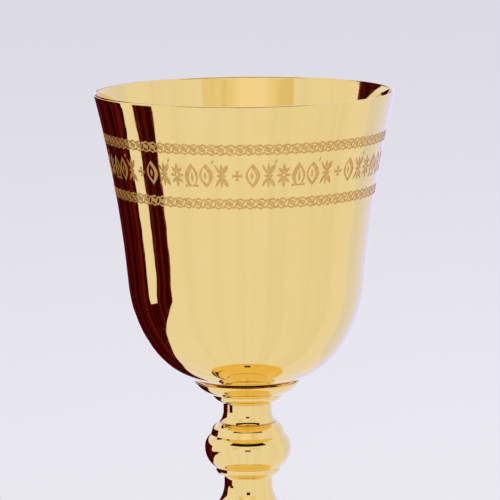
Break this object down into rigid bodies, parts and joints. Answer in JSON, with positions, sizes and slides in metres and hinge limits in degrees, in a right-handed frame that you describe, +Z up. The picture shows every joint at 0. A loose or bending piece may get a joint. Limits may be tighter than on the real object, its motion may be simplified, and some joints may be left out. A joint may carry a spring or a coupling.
{
  "type": "communion chalice",
  "caption": "Gilded footed cup with a flared bowl, turned stem with a round knop and a swept foot, held together by a threaded tie rod.",
  "frame": {"origin": "on the axis of symmetry, in the plane the foot rests on", "axes": "+Z up the axis towards the rim, -Y towards the side seen as the front"},
  "size_m": [0.1, 0.1, 0.185],
  "materials": {
    "gilded_brass": "polished gilding",
    "bare_brass": "turned, unplated",
    "zinc_steel": "zinc plated"
  },
  "bodies": {
    "root": {"bowl": "gilded_brass", "bowl_boss": "bare_brass", "saucer": "gilded_brass", "saucer_collar": "gilded_brass", "upper_stem": "gilded_brass", "knop": "gilded_brass", "knop_collar": "gilded_brass", "lower_stem": "gilded_brass", "stem_ring": "gilded_brass", "foot_shell": "gilded_brass", "foot_rim": "gilded_brass", "clamp_plate": "bare_brass", "flat_washer": "zinc_steel", "spring_washer": "zinc_steel", "rod_nut": "zinc_steel", "tie_rod": "zinc_steel"}
  },
  "joints": []
}
